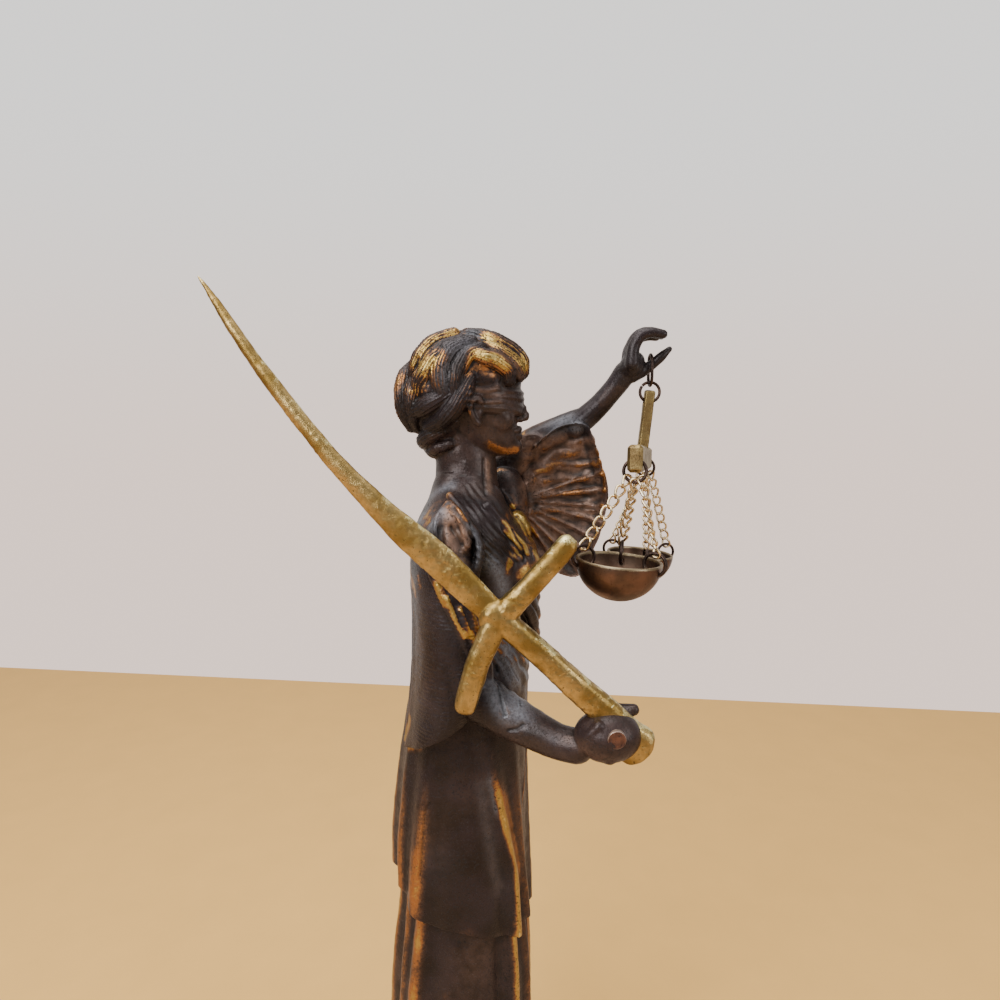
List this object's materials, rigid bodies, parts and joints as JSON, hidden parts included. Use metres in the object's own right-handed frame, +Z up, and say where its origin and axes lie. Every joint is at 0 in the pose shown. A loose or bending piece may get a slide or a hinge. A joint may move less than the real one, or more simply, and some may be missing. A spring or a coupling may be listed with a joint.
{
  "type": "lady justice statue",
  "caption": "Cast brass lady justice figure on a round plinth, blindfolded, holding up hanging scales and a curved cross-hilted sword.",
  "frame": {"origin": "centre of the plinth's underside", "axes": "+Z up, the figure faces -Y, her right side with the sword is -X"},
  "size_m": [0.1068, 0.1449, 0.3194],
  "materials": {
    "dark_brass": "dark brown patina rubbed to gold on the raised folds",
    "polished_brass": "satin yellow brass, rough cast",
    "old_brass": "dull olive brass",
    "chain_brass": "bright pale gold plating",
    "copper_brown_brass": "copper brown, satin",
    "iron_wire": "dark oxidised wire",
    "copper": "dull copper rivet"
  },
  "bodies": {
    "root": {"figure": "dark_brass", "plinth": "dark_brass", "sword": "polished_brass", "hand_rivet": "copper", "hanging_link": "iron_wire", "post_ring": "iron_wire", "beam": "old_brass", "near_beam_ring": "iron_wire", "near_pan": "copper_brown_brass", "near_rim_ring_1": "iron_wire", "near_rim_ring_2": "iron_wire", "near_rim_ring_3": "iron_wire", "near_chain_1": "chain_brass", "near_chain_2": "chain_brass", "near_chain_3": "chain_brass", "far_beam_ring": "iron_wire", "far_pan": "copper_brown_brass", "far_rim_ring_1": "iron_wire", "far_rim_ring_2": "iron_wire", "far_rim_ring_3": "iron_wire", "far_chain_1": "chain_brass", "far_chain_2": "chain_brass", "far_chain_3": "chain_brass"}
  },
  "joints": []
}
